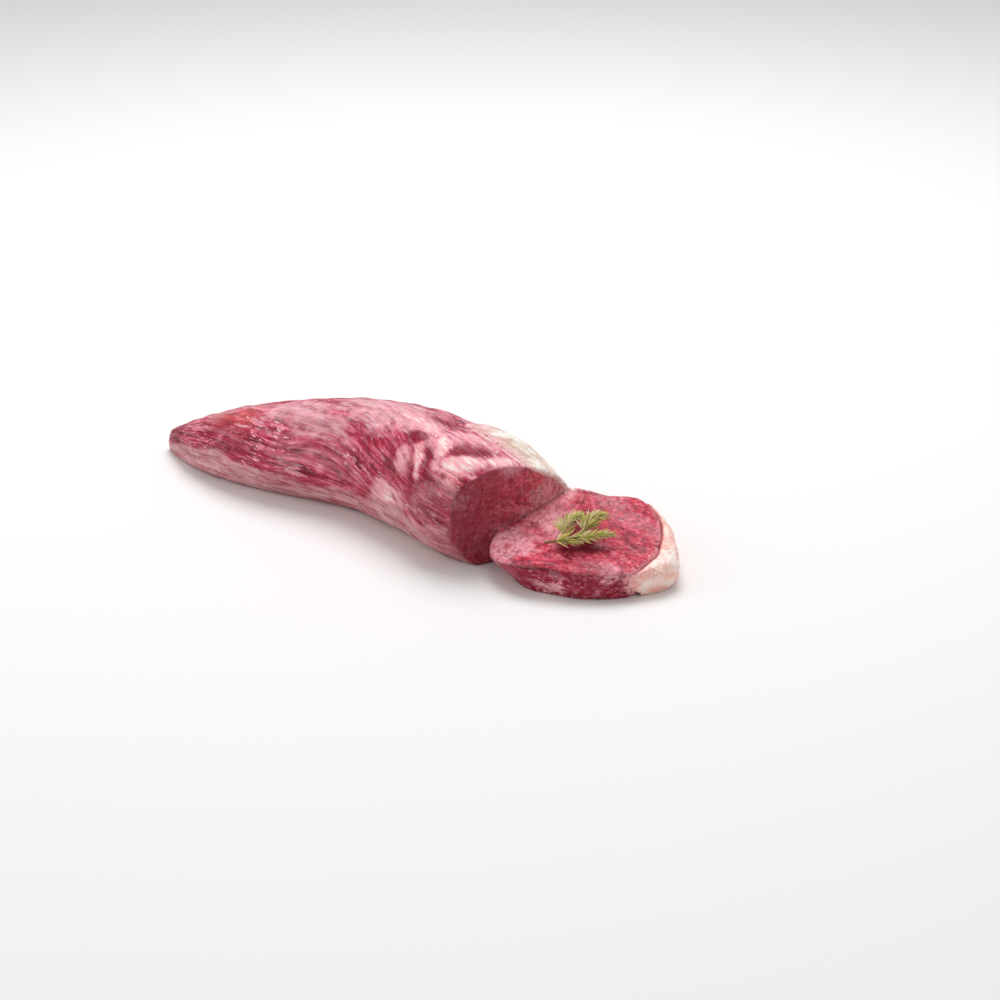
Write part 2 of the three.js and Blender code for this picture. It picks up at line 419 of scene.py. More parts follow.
class Recipe:
    """A material, node by node. Each step returns the socket that the next one takes."""

    def __init__(self, name: str) -> None:
        """Starts an empty material with its surface shader.

        Args:
            name: The name of the material.
        """
        self.material = bpy.data.materials.new(name)
        self.material.use_nodes = True
        self.tree = self.material.node_tree
        self.surface = self.tree.nodes["Principled BSDF"]

    def node(self, kind: str, inputs: dict, **settings: object) -> bpy.types.Node:
        """Adds a node.

        Args:
            kind: Blender's name for it, without the word ShaderNode.
            inputs: A value or a socket for each input, by name or number.
            settings: The node's own settings.

        Returns:
            The node.
        """
        made = self.tree.nodes.new("ShaderNode" + kind)
        for name, value in settings.items():
            setattr(made, name, value)
        for name, value in inputs.items():
            self.feed(made.inputs[name], value)
        return made

    def feed(self, socket: Socket, value: object) -> None:
        """Links a socket to another, or gives it a value of its own or the colour of a code.

        Args:
            socket: The socket to feed.
            value: A socket, a number, a row of numbers or the code of a colour.
        """
        if isinstance(value, Socket):
            self.tree.links.new(value, socket)
        else:
            socket.default_value = tint(value) if isinstance(value, str) else value

    def stored(self, name: str) -> Socket:
        """One number that the mesh keeps for each point."""
        return self.node("Attribute", {}, attribute_name=name).outputs["Fac"]

    def grain(self) -> Socket:
        """The place along and across the grain, which the mesh keeps for each point."""
        return self.node("Attribute", {}, attribute_name="grain").outputs["Vector"]

    def place(self) -> Socket:
        """The place on the piece."""
        return self.node("TexCoord", {}).outputs["Object"]

    def scaled(self, vector: Socket, sizes: Triple) -> Socket:
        """Measures a place in steps of the given three sizes, in millimetres."""
        steps = tuple(1 / (size * MM) for size in sizes)
        return self.node("Mapping", {"Vector": vector, "Scale": steps}).outputs["Vector"]

    def noise(self, vector: Socket, sizes: Triple, detail: float = 2, rough: float = 0.5) -> Socket:
        """Cloudy noise from 0 to 1, with lumps of the given sizes."""
        inputs = {"Vector": self.scaled(vector, sizes), "Scale": 1.0, "Detail": detail, "Roughness": rough}
        return self.node("TexNoise", inputs).outputs["Fac"]

    def bent(self, vector: Socket, size: float, amount: float) -> Socket:
        """Bends a place aside, by up to about the given amount, in swirls of the given size.

        Args:
            vector: The place.
            size: The size of a swirl.
            amount: How far it bends the place.

        Returns:
            The bent place.
        """
        steps = {"Vector": self.scaled(vector, (size,) * 3), "Scale": 1.0, "Detail": 2}
        middle = self.vectors("SUBTRACT", self.node("TexNoise", steps).outputs["Color"], (0.5,) * 3)
        return self.vectors("ADD", vector, self.vectors("MULTIPLY", middle, (2 * amount * MM,) * 3))

    def cells(self, vector: Socket, feature: str = "F1", output: str = "Distance") -> Socket:
        """The distance, or another output, of a pattern of cells of about one step."""
        return self.node("TexVoronoi", {"Vector": vector, "Scale": 1.0}, feature=feature).outputs[output]

    def vectors(self, way: str, first: Socket, second: object) -> Socket:
        """A sum, product or the like of places."""
        return self.node("VectorMath", {0: first, 1: second}, operation=way).outputs["Vector"]

    def maths(
        self, way: str, first: object, second: object = 0.0, clamp: bool = True, third: object = 0.0
    ) -> Socket:
        """A sum, product or the like of values, kept from 0 to 1 if clamp is set."""
        inputs = {0: first, 1: second, 2: third}
        return self.node("Math", inputs, operation=way, use_clamp=clamp).outputs["Value"]

    def times(self, first: Socket, second: object) -> Socket:
        """The product of two values, kept from 0 to 1."""
        return self.maths("MULTIPLY", first, second)

    def off_middle(self, noise: Socket) -> Socket:
        """How far a noise is from its middle value, which is next to nothing along thin winding lines."""
        return self.maths("ABSOLUTE", self.maths("SUBTRACT", noise, 0.5, False), clamp=False)

    def blend(self, share: float, first: Socket, second: Socket) -> Socket:
        """A share of the first value and the rest of the second."""
        part = self.maths("MULTIPLY", first, share, False)
        return self.maths("MULTIPLY_ADD", second, 1 - share, False, part)

    def between(self, value: Socket, low: float, high: float, start: float = 0, end: float = 1) -> Socket:
        """A smooth change from start to end while a value goes from low to high."""
        numbers = {"Value": value, "From Min": low, "From Max": high, "To Min": start, "To Max": end}
        return self.node("MapRange", numbers, interpolation_type="SMOOTHSTEP").outputs["Result"]

    def mix(self, share: object, first: object, second: object) -> Socket:
        """Mixes the second colour into the first by a share."""
        return self.node("Mix", {0: share, 6: first, 7: second}, data_type="RGBA").outputs[2]

    def ramp(self, value: Socket, *stops: tuple[float, str]) -> Socket:
        """A run of colours along a value.

        Args:
            value: A value from 0 to 1.
            stops: Each colour's position along it, and its code.

        Returns:
            The colour.
        """
        made = self.node("ValToRGB", {"Fac": value})
        band = made.color_ramp.elements
        while len(band) < len(stops):
            band.new(0.5)
        for element, (position, code) in zip(band, stops):
            element.position = position
            element.color = tint(code)
        return made.outputs["Color"]

    def relief(self, height: Socket, depth: float, before: Socket | None = None) -> Socket:
        """Fine relief of the given depth in millimetres, over the relief before it.

        Args:
            height: The height, from 0 to 1.
            depth: How deep the relief is.
            before: The relief that it lies on, if there is one.

        Returns:
            The way that the surface faces.
        """
        inputs = {"Height": height, "Distance": depth * MM, "Strength": 1.0}
        if before is not None:
            inputs["Normal"] = before
        return self.node("Bump", inputs).outputs["Normal"]

    def soak(self, weight: float, depth: Triple, scale: float) -> None:
        """Lets light into the surface, to a depth in millimetres for red, green and blue.

        Args:
            weight: How much of the light goes in.
            depth: How far red, green and blue go, in steps of the scale.
            scale: The size of a step.
        """
        self.surface.inputs["Subsurface Weight"].default_value = weight
        self.surface.inputs["Subsurface Radius"].default_value = depth
        self.surface.inputs["Subsurface Scale"].default_value = scale * MM

    def finish(
        self, colour: object, rough: object, normal: object, wet: float, wet_rough: float
    ) -> bpy.types.Material:
        """Sets the surface's colour, roughness, relief and wet film.

        Args:
            colour: The colour.
            rough: The roughness.
            normal: The relief.
            wet: How much of a wet film there is.
            wet_rough: The roughness of the film.

        Returns:
            The finished material.
        """
        self.feed(self.surface.inputs["Base Color"], colour)
        self.feed(self.surface.inputs["Roughness"], rough)
        self.feed(self.surface.inputs["Normal"], normal)
        self.surface.inputs["Coat Weight"].default_value = wet
        self.surface.inputs["Coat Roughness"].default_value = wet_rough
        return self.material


class Layer(Enum):
    """What lies on, tints or paints light and shading on the meat. Each is kept on the mesh under its own
    name.
    """

    MEMBRANE_AND_SHEEN = "membrane"
    FAT = "fat"
    DARK_MEAT_AND_SHADE = "shade"
    WARM_AND_LIGHT = "warm"
    BLUSH_AND_LIGHT = "blush"
    FLECK = "fleck"


@dataclass(frozen=True)
class MeatFinish:
    """Raw beef: dark red fibres under thin silverskin, with flecks of fat, a grain of bundles on a cut, and
    painted light, sheen, highlights and shading in places.
    """

    lean_dark: str = "#6e0a28"
    lean: str = "#b62444"
    lean_pale: str = "#e6758f"
    cut_dark: str = "#8a092b"
    cut_red: str = "#cf2a46"
    cut_pale: str = "#f4788e"
    sinew: str = "#ee95a3"
    # The colour of the dark layer: darker meat, and painted shading on the cut face and near the cut.
    dark: str = "#880426"
    # The colour of painted shading in the recesses of the relief.
    deep: str = "#480719"
    # Redder and paler pink meat; both also carry painted light by the fold of the slice, and the paler pink a
    # painted sheen on the top.
    warm: str = "#de5a4c"
    blush: str = "#ffbcc8"
    membrane_low: str = "#b46472"
    membrane_high: str = "#f5c0ca"
    membrane_grey: str = "#d6a9a8"
    fat_low: str = "#f5a9af"
    fat_high: str = "#f8e6dc"
    fleck: str = "#f898a8"
    # Small painted highlights among the flecks of fat.
    glint: str = "#ffdcd6"
    dullness: float = 0.12  # how little the meat itself shines
    wet: float = 0.18
    wet_rough: float = 0.16

    def fibres(self, recipe: Recipe) -> Socket:
        """The colour of bundles that lie along the surface.

        Args:
            recipe: The material that is being made.

        Returns:
            The colour.
        """
        grain = recipe.grain()
        bundles = recipe.noise(grain, (34, 2.6, 9), 4, 0.66)
        mottle = recipe.noise(grain, (15, 6, 9), 3, 0.6)
        tone = recipe.blend(0.6, bundles, mottle)
        colour = recipe.ramp(tone, (0.39, self.lean_dark), (0.5, self.lean), (0.62, self.lean_pale))
        strands = recipe.noise(grain, (26, 0.9, 9))
        return recipe.mix(recipe.between(strands, 0.36, 0.5, 0.35, 0.0), colour, self.lean_dark)

    def grain_of_cut(self, recipe: Recipe) -> Socket:
        """The colour of bundles that are cut across: small uneven cells with thin pale sinew between some.

        Args:
            recipe: The material that is being made.

        Returns:
            The colour.
        """
        place = recipe.bent(recipe.place(), 5.0, 1.2)
        cloud = recipe.noise(place, (9, 7, 7), 4, 0.6)
        steps = recipe.scaled(place, (2.1, 1.7, 1.7))
        tone = recipe.blend(0.6, cloud, recipe.cells(steps, "SMOOTH_F1", "Color"))
        colour = recipe.ramp(tone, (0.35, self.cut_dark), (0.5, self.cut_red), (0.66, self.cut_pale))
        edges = recipe.between(recipe.cells(steps, "DISTANCE_TO_EDGE"), 0.0, 0.14, 0.45, 0.0)
        patchy = recipe.noise(place, (7, 7, 7))
        colour = recipe.mix(recipe.times(edges, patchy), colour, self.sinew)
        seam = recipe.off_middle(recipe.noise(place, (14, 11, 11), 4, 0.6))
        share = recipe.times(recipe.between(seam, 0.002, 0.014, 0.6, 0.0), recipe.between(patchy, 0.45, 0.6))
        return recipe.mix(share, colour, self.fat_low)

    def tinted(self, recipe: Recipe, colour: Socket) -> Socket:
        """Adds what tints the meat itself: redder, paler, spotted and darker parts, and flecks of fat. The
        redder and paler parts also hold painted light, the darker parts painted shading, the flecks small
        painted highlights.

        Args:
            recipe: The material that is being made.
            colour: The colour of the bare meat.

        Returns:
            The tinted colour.
        """
        grain = recipe.grain()
        cloud = recipe.noise(grain, (14, 3.4, 9), 4, 0.64)
        uneven = recipe.between(cloud, 0.38, 0.58, 0.3, 1.0)
        for layer, most, code in ((Layer.WARM_AND_LIGHT, 0.75, self.warm), (Layer.BLUSH_AND_LIGHT, 0.85, self.blush)):
            share = recipe.times(recipe.stored(layer.value), most)
            colour = recipe.mix(recipe.times(share, uneven), colour, code)
        spots = recipe.noise(recipe.place(), (7, 5, 4), 3, 0.65)
        colour = recipe.mix(recipe.between(spots, 0.57, 0.7, 0.0, 0.6), colour, self.lean_dark)
        # Darker meat, and painted shading.
        shade = recipe.times(recipe.stored("shade"), recipe.between(cloud, 0.32, 0.5, 0.7, 1.0))
        colour = recipe.mix(shade, colour, self.dark)
        fatty = recipe.stored("fleck")
        for sizes, detail, rough, low, high, most, code in (
            ((26, 6, 9), 4, 0.66, 0.52, 0.66, 0.5, self.membrane_high),
            ((9, 2.8, 5), 3, 0.62, 0.54, 0.63, 0.9, self.fleck),
            # Small painted highlights.
            ((6, 1.8, 3), 2, 0.5, 0.61, 0.7, 0.8, self.glint),
        ):
            marks = recipe.noise(grain, sizes, detail, rough)
            share = recipe.times(recipe.between(marks, low, high, 0.0, most), fatty)
            colour = recipe.mix(share, colour, code)
        return colour

    def veiled(self, recipe: Recipe, colour: Socket) -> Socket:
        """Lays silverskin over the meat: cloudy, mottled, with fine dark veins, and thin in places. The same
        layer paints sheen on the top and on the cut face.

        Args:
            recipe: The material that is being made.
            colour: The colour under the silverskin.

        Returns:
            The colour with it.
        """
        grain = recipe.grain()
        cloud = recipe.noise(grain, (14, 6, 6), 5, 0.66)
        stops = (0.34, self.membrane_low), (0.5, self.membrane_grey), (0.66, self.membrane_high)
        sheet = recipe.ramp(cloud, *stops)
        fibre = recipe.noise(grain, (24, 1.6, 5), 3, 0.6)
        sheet = recipe.mix(recipe.between(fibre, 0.5, 0.7, 0.0, 0.55), sheet, self.membrane_high)
        sheet = recipe.mix(recipe.between(fibre, 0.34, 0.48, 0.55, 0.0), sheet, self.lean)
        vein = recipe.off_middle(recipe.noise(recipe.place(), (17, 14, 14), 3))
        sheet = recipe.mix(recipe.between(vein, 0.003, 0.012, 0.4, 0.0), sheet, self.lean_dark)
        thin = recipe.noise(grain, (20, 7, 9), 4, 0.62)
        share = recipe.times(recipe.stored("membrane"), recipe.between(thin, 0.36, 0.56, 0.4, 1.0))
        return recipe.mix(share, colour, sheet)

    def with_fat(self, recipe: Recipe, colour: Socket) -> Socket:
        """Lays torn patches of fat over the meat, pink where they are thin.

        Args:
            recipe: The material that is being made.
            colour: The colour under the fat.

        Returns:
            The colour with it.
        """
        grain = recipe.bent(recipe.grain(), 5.0, 1.0)
        lumps = recipe.noise(recipe.place(), (3.5, 3, 3), 4, 0.65)
        streaks = recipe.noise(grain, (12, 2.0, 4), 4, 0.62)
        torn = recipe.blend(0.3, lumps, streaks)
        fat = recipe.maths("MULTIPLY_ADD", torn, 1.7, False, recipe.stored("fat"))
        fat = recipe.maths("SUBTRACT", fat, 0.85)
        colour = recipe.mix(recipe.between(fat, 0.1, 0.45, 0.0, 0.8), colour, self.fat_low)
        thick = recipe.mix(recipe.between(streaks, 0.4, 0.62), self.fat_low, self.fat_high)
        return recipe.mix(recipe.between(fat, 0.4, 0.75, 0.0, 0.95), colour, thick)

    def material(self) -> bpy.types.Material:
        """Makes the material.

        Returns:
            The material.
        """
        recipe = Recipe("raw_beef")
        place = recipe.place()
        colour = recipe.mix(recipe.stored("cut"), self.fibres(recipe), self.grain_of_cut(recipe))
        colour = self.with_fat(recipe, self.veiled(recipe, self.tinted(recipe, colour)))
        # Painted shading in the recesses of the relief.
        hollow_shade = recipe.between(recipe.stored("hollow_shade"), 0.1, 0.9, 0.0, 0.65)
        colour = recipe.mix(hollow_shade, colour, self.deep)
        rough = recipe.between(recipe.noise(place, (6, 5, 5), 3, 0.6), 0.3, 0.7, 0.34, 0.55)
        normal = recipe.relief(recipe.noise(recipe.grain(), (22, 0.9, 3), 3, 0.6), 0.65)
        normal = recipe.relief(recipe.noise(place, (1.5, 1.5, 1.5)), 0.25, normal)
        recipe.soak(0.18, (1.0, 0.28, 0.2), 4)
        recipe.surface.inputs["Specular IOR Level"].default_value = self.dullness
        return recipe.finish(colour, rough, normal, self.wet, self.wet_rough)


@dataclass(frozen=True)
class FatFinish:
    """Firm white beef fat: lumpy and waxy, greyer or pinker by its place, and pink where it is thin."""

    name: str
    low: str
    middle: str
    high: str
    pink: str
    wet: float = 0.2
    wet_rough: float = 0.3

    def material(self) -> bpy.types.Material:
        """Makes the material.

        Returns:
            The material.
        """
        recipe = Recipe(self.name)
        place = recipe.place()
        cloud = recipe.noise(place, (9, 9, 7), 5, 0.64)
        colour = recipe.ramp(cloud, (0.37, self.low), (0.49, self.middle), (0.6, self.high))
        veins = recipe.noise(place, (6, 6, 3), 4, 0.62)
        colour = recipe.mix(recipe.between(veins, 0.54, 0.72, 0.0, 0.5), colour, self.pink)
        torn = recipe.maths("ADD", recipe.stored("thin"), recipe.maths("SUBTRACT", veins, 0.5, False))
        colour = recipe.mix(recipe.between(torn, 0.45, 1.0, 0.0, 0.75), colour, self.pink)
        vessel = recipe.off_middle(recipe.noise(place, (13, 13, 10), 3))
        colour = recipe.mix(recipe.between(vessel, 0.001, 0.006, 0.35, 0.0), colour, MeatFinish.lean)
        curds = recipe.cells(recipe.scaled(recipe.bent(place, 4, 1), (2.8, 2.8, 2.2)))
        normal = recipe.relief(recipe.noise(place, (0.9, 0.9, 0.9)), 0.15, recipe.relief(curds, 0.4))
        recipe.soak(0.3, (1.0, 0.6, 0.45), 3)
        rough = recipe.between(cloud, 0.3, 0.7, 0.5, 0.36)
        return recipe.finish(colour, rough, normal, self.wet, self.wet_rough)


@dataclass(frozen=True)
class NeedleFinish:
    """Needles of the herb: olive green, some of them dry and tan, all a little darker in spots."""

    green: str = "#b2bc4e"
    olive: str = "#dccb72"
    dry: str = "#f4dcae"
    spot: str = "#5b6427"

    def material(self) -> bpy.types.Material:
        """Makes the material.

        Returns:
            The material.
        """
        recipe = Recipe("herb_needle")
        colour = recipe.ramp(recipe.stored("age"), (0.1, self.green), (0.5, self.olive), (0.85, self.dry))
        cloud = recipe.noise(recipe.place(), (1.2, 1.2, 1.2))
        colour = recipe.mix(recipe.between(cloud, 0.3, 0.7, 0.0, 0.3), colour, self.spot)
        recipe.soak(0.15, (0.5, 1.0, 0.2), 0.6)
        rough = recipe.between(cloud, 0.3, 0.7, 0.45, 0.6)
        return recipe.finish(colour, rough, recipe.relief(cloud, 0.1), wet=0.0, wet_rough=0.4)


@dataclass(frozen=True)
class StemFinish:
    """The herb's woody stem: brown, greener towards the tips."""

    brown: str = "#64371d"
    green: str = "#8a7a3c"

    def material(self) -> bpy.types.Material:
        """Makes the material.

        Returns:
            The material.
        """
        recipe = Recipe("herb_stem")
        bark = recipe.noise(recipe.place(), (3, 0.6, 0.6), 3)
        colour = recipe.ramp(bark, (0.35, self.brown), (0.65, self.green))
        rough = recipe.between(bark, 0.3, 0.7, 0.6, 0.8)
        return recipe.finish(colour, rough, recipe.relief(bark, 0.2), wet=0.0, wet_rough=0.5)


# ---------------------------------------------------------------- the meat


@dataclass(frozen=True)
class Patch:
    """A patch of one layer on the meat.

    Fields: the layer, the middle, the reach along the fillet and across it, how strong the layer is, and how
    far it stands proud of the meat or, below zero, sinks into it.
    """

    layer: Layer
    middle: Triple
    along: float
    across: float
    strength: float
    lift: float = 0.0

    def weight(self, spots: Array, frayed: Array) -> Array:
        """How much of the patch is at each spot, with a frayed edge."""
        away = (spots - self.middle) / (self.along, self.across, self.across)
        return 1 - rise(np.linalg.norm(away, axis=1) + 0.5 * frayed, 0.45, 1.25)


@dataclass(frozen=True)
class Fold:
    """A line of one layer along which the meat is raised or, below zero, sunk.

    Fields: the layer, the points of the line, how wide it is, how far the meat is raised, and how strong the
    layer is.
    """

    layer: Layer
    line: tuple[Triple, ...]
    width: float
    lift: float
    strength: float


# The patches of each layer, row by row as the fields of Patch.
PATCHES = tuple(
    Patch(layer, *row)
    for layer, rows in {
        # Darker meat, and painted shading on the near flank by the cut at (56, -51, 36) and on the cut face's
        # near side at (74, -46, 22).
        Layer.DARK_MEAT_AND_SHADE: (
            ((-180, -46, 20), 20, 12, 0.6), ((-116, -52, 32), 30, 12, 0.5),
            ((25, -27, 64), 8, 5, 1.0, -0.4), ((62, -43, 53), 4, 3, 0.9), ((56, -51, 36), 24, 16, 0.5),
            ((74, -46, 22), 14, 26, 0.6), ((163, 10, 21), 7, 4, 0.7), ((157, -7, 22), 10, 4, 0.6),
            ((102, -36, 20), 4, 3, 0.7), ((160, -22, 19), 12, 5, 0.5), ((147, -29, 20), 21, 9, 0.32),
        ),
        # Redder meat, and painted light on the cut face's right at (102, 10, 40), on the strip of the slice
        # by the cut face at (104, -6, 26) and, partly, on the slice's lobe at (103, -34, 20).
        Layer.WARM_AND_LIGHT: (
            ((-120, -36, 43), 36, 15, 0.8), ((26, -40, 53), 9, 11, 0.4), ((66, -42, 54), 12, 7, 1.0, 0.5),
            ((102, 10, 40), 14, 20, 0.9), ((104, -6, 26), 20, 12, 0.9), ((103, -34, 20), 16, 16, 0.6),
        ),
        # Paler pink meat; painted light on the cut face's right at (103, 10, 35), on the strip of the slice
        # by it at (108, -4, 24) and partly on the slice's lobe at (100, -34, 20); painted sheen with the
        # silverskin on the top at (-62, -28, 56) and (-8, -10, 65).
        Layer.BLUSH_AND_LIGHT: (
            ((-96, -30, 50), 20, 12, 0.2), ((-62, -28, 56), 38, 16, 0.75), ((-8, -10, 65), 46, 19, 0.9),
            ((-50, -43, 36), 32, 12, 0.3), ((26, -40, 53), 9, 11, 0.8, 0.3), ((52, -19, 64), 30, 14, 1.0),
            ((51, -37, 57), 7, 8, 0.9), ((84, -17, 61), 12, 9, 0.9), ((64, -41, 55), 13, 7, 0.75, 0.3),
            ((103, 10, 35), 12, 16, 0.65), ((108, -4, 24), 22, 14, 0.8), ((100, -34, 20), 20, 20, 0.95),
            ((164, -20, 20), 13, 8, 0.7),
        ),
        # Silverskin, with painted sheen in it on the top at (-66, -30, 55) and (-18, -8, 65), and painted
        # sheen alone on the cut face at (95, -3, 37).
        Layer.MEMBRANE_AND_SHEEN: (
            ((-136, -32, 40), 18, 9, 0.4), ((-66, -30, 55), 34, 12, 0.6, 0.1),
            ((-18, -8, 65), 40, 16, 0.62, 0.1), ((22, -46, 30), 19, 10, 0.85, 0.2),
            ((62, -49, 42), 18, 13, 0.35), ((95, -3, 37), 7, 6, 0.5), ((146, 30, 22), 26, 9, 0.3),
            ((120, 36, 29), 14, 13, 0.45),
        ),
        Layer.FAT: (
            ((25, -38, 54), 6, 9, 0.25), ((20, -46, 31), 17, 8, 0.5, 0.1), ((165, -21, 17), 13, 5, 0.34),
            ((137, -39, 5), 13, 5, 0.3),
        ),
        Layer.FLECK: (
            ((164, -22, 17), 15, 7, 1.3), ((136, -40, 6), 16, 8, 1.3), ((98, -36, 20), 16, 14, 0.8),
        ),
    }.items()
    for row in rows
)
# The lines of each layer, row by row as the fields of Fold.
FOLDS = tuple(
    Fold(layer, *row)
    for layer, rows in {
        Layer.DARK_MEAT_AND_SHADE: (
            # Sunk creases near the head, painted dark along their lines.
            (((26, -31, 60), (30, -38, 56), (35, -44, 52), (40, -48, 46), (46, -52, 38)), 2.8, -0.8, 0.68),
            (((37, -30, 61), (39, -33, 59), (45, -40, 55), (51, -46, 49), (56, -51, 40)), 2.8, -1.0, 0.78),
            (((6, -29, 59), (15, -39, 53), (20, -43, 46), (22, -46, 36)), 2.8, -0.6, 0.6),
            (((22, -47, 36), (28, -49, 28), (34, -51, 18)), 2.4, -0.7, 0.7),
            # Painted shadow under the sprig.
            (((122, -25, 23), (136, -14, 22), (150, -3, 22)), 6.0, -0.6, 1.3),
            # Darker meat on the top of the head.
            (((12, -6, 67), (28, -1, 66), (50, 7, 63)), 6.5, -0.4, 0.85),
            (((52, -31, 64), (62, -25, 64), (76, -14, 63)), 7.0, -0.5, 1.5),
        ),
        Layer.MEMBRANE_AND_SHEEN: (
            (((38, -52, 26), (50, -53, 20), (62, -52, 16)), 4.0, 0.4, 0.8),
        ),
        Layer.FAT: (
            (((29, -28, 63), (34, -35, 59), (40, -42, 54), (47, -49, 47)), 3.4, 0.2, 0.75),
            (((-4, -10, 66), (12, -14, 67), (26, -15, 66), (38, -18, 65)), 7.0, 0.2, 0.7),
            (((36, -17, 65), (42, -24, 63), (48, -30, 61), (53, -35, 59)), 5.2, 0.2, 1.0),
            (((53, -38, 59), (62, -37, 60), (71, -33, 61), (81, -27, 60)), 6.0, 0.2, 1.15),
            (((76, -27, 61), (84, -18, 61), (88, -8, 62)), 4.5, 0.1, 0.75),
            (((38, -12, 65), (52, -10, 65), (66, -9, 64), (80, -9, 63)), 4.0, 0.1, 0.45),
            (((-70, 44, 36), (-35, 48, 38), (5, 50, 33)), 3.5, 0.2, 0.55),
            (((-150, -28, 20), (-120, -10, 24), (-90, 8, 22)), 3.0, 0.1, 0.45),
        ),
    }.items()
    for row in rows
)


@dataclass
class Girth:
    """The fillet's middle, half width and height along its length, measured on the mesh."""

    step: float = 6.0
    slab: float = 6.0
    near_until: float = 66.0
    before_cut: float = 1.5
    widest: float = 0.4  # the height of the widest part, as a share of the fillet's height
    pressed: float = 7.0  # how much of the round underside is pressed flat

    def measure(self, spots: Array) -> None:
        """Measures the fillet in slabs across its length.

        Args:
            spots: The points of the meat, as rows of three coordinates.
        """
        body = spots[past_cut(spots) < -self.before_cut]
        whole = body[body[:, 0] < self.near_until]
        self.marks = np.arange(whole[:, 0].min() + self.step / 2, self.near_until - self.step / 3, self.step)
        slabs = [whole[np.abs(whole[:, 0] - mark) < self.slab] for mark in self.marks]
        near = np.array([part[:, 1].min() for part in slabs])
        far = np.array([part[:, 1].max() for part in slabs])
        self.top = np.array([part[:, 2].max() for part in slabs])
        self.middle, self.half = (near + far) / 2, (far - near) / 2

    def turn(self, spots: Array) -> Array:
        """The turn in degrees of each spot round the fillet: 0 far, 90 on top, 180 near and 270 below.

        Args:
            spots: Rows of three coordinates.

        Returns:
            One turn for each row.
        """
        middle, half, top = (
            np.interp(spots[:, 0], self.marks, row) for row in (self.middle, self.half, self.top)
        )
        belt = self.widest * top
        room = np.where(spots[:, 2] > belt, top - belt, belt + self.pressed)
        turn = np.degrees(np.arctan2((spots[:, 2] - belt) / room, (spots[:, 1] - middle) / half))
        return (turn + 90) % 360 - 90


